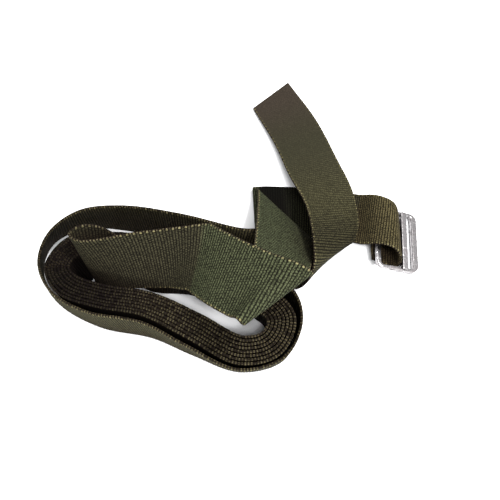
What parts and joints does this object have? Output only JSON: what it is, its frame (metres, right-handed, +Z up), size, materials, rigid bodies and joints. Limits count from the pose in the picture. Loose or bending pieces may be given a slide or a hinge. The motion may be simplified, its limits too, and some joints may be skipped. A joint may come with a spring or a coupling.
{
  "type": "tourniquet",
  "caption": "Webbing tourniquet strap, rolled on edge into a coil, with a free tail and a metal slide buckle held in a sewn loop.",
  "frame": {"origin": "on the table, in the middle of the whole object's footprint", "axes": "+Z up from the table, +X from the coil towards the buckle, +Y towards the free tail"},
  "size_m": [0.1659, 0.1522, 0.0548],
  "materials": {
    "webbing": "matt ribbed grosgrain webbing with light dots along the edges",
    "thread": "matt sewing thread",
    "steel": "dull plated steel with worn highlights"
  },
  "bodies": {
    "coil": {"coil_turn_1": "webbing", "coil_turn_2": "webbing", "coil_turn_3": "webbing", "coil_turn_4": "webbing", "coil_turn_5": "webbing", "coil_turn_6": "webbing", "coil_turn_7": "webbing", "coil_turn_8": "webbing", "loose_turn_right": "webbing", "loose_turn_front": "webbing", "loose_turn_left": "webbing", "loose_turn_back": "webbing", "tail_under_pass": "webbing", "tail_fold": "webbing", "coil_lead": "webbing", "small_loop": "webbing", "top_span_left": "webbing", "top_span_right": "webbing", "front_fold": "webbing", "rising_span": "webbing", "diagonal_fold": "webbing", "return_curl": "webbing", "buckle_strap_inner": "webbing"},
    "tail_root": {"tail_root": "webbing"},
    "tail_middle": {"tail_middle": "webbing"},
    "tail_tip": {"tail_tip": "webbing"},
    "buckle_strap": {"buckle_strap_outer": "webbing", "buckle_loop": "webbing", "loop_return": "webbing", "box_stitch": "thread"},
    "buckle": {"buckle_frame": "steel"},
    "friction_bar": {"friction_bar": "steel"}
  },
  "joints": [
    {"name": "tail_lift", "type": "hinge", "parent": "coil", "child": "tail_root", "pos_m": [0.0435, -0.02104, 0.01795], "axis": [0.7493, 0.4592, -0.4772], "range_deg": [0, 45]},
    {"name": "tail_flex_lower", "type": "hinge", "parent": "tail_root", "child": "tail_middle", "pos_m": [0.04067, 0.01114, 0.00842], "axis": [0.9161, 0.371, -0.152], "range_deg": [0, 60]},
    {"name": "tail_flex_upper", "type": "hinge", "parent": "tail_middle", "child": "tail_tip", "pos_m": [0.03163, 0.03838, 0.00469], "axis": [0.8664, 0.4992, 0.015], "range_deg": [0, 60]},
    {"name": "buckle_strap_flex", "type": "hinge", "parent": "coil", "child": "buckle_strap", "pos_m": [0.05573, -0.0036, 0.00232], "axis": [-0.073, -0.9973, -0.001], "range_deg": [0, 25]},
    {"name": "buckle_swivel", "type": "hinge", "parent": "buckle_strap", "child": "buckle", "pos_m": [0.06369, -0.01474, 0.0056], "axis": [-0.0872, -0.9962, 0], "range_deg": [-8, 3]},
    {"name": "friction_slide", "type": "slide", "parent": "buckle", "child": "friction_bar", "axis": [0.9666, -0.0846, -0.2419], "range_m": [0, 0.0025]}
  ]
}
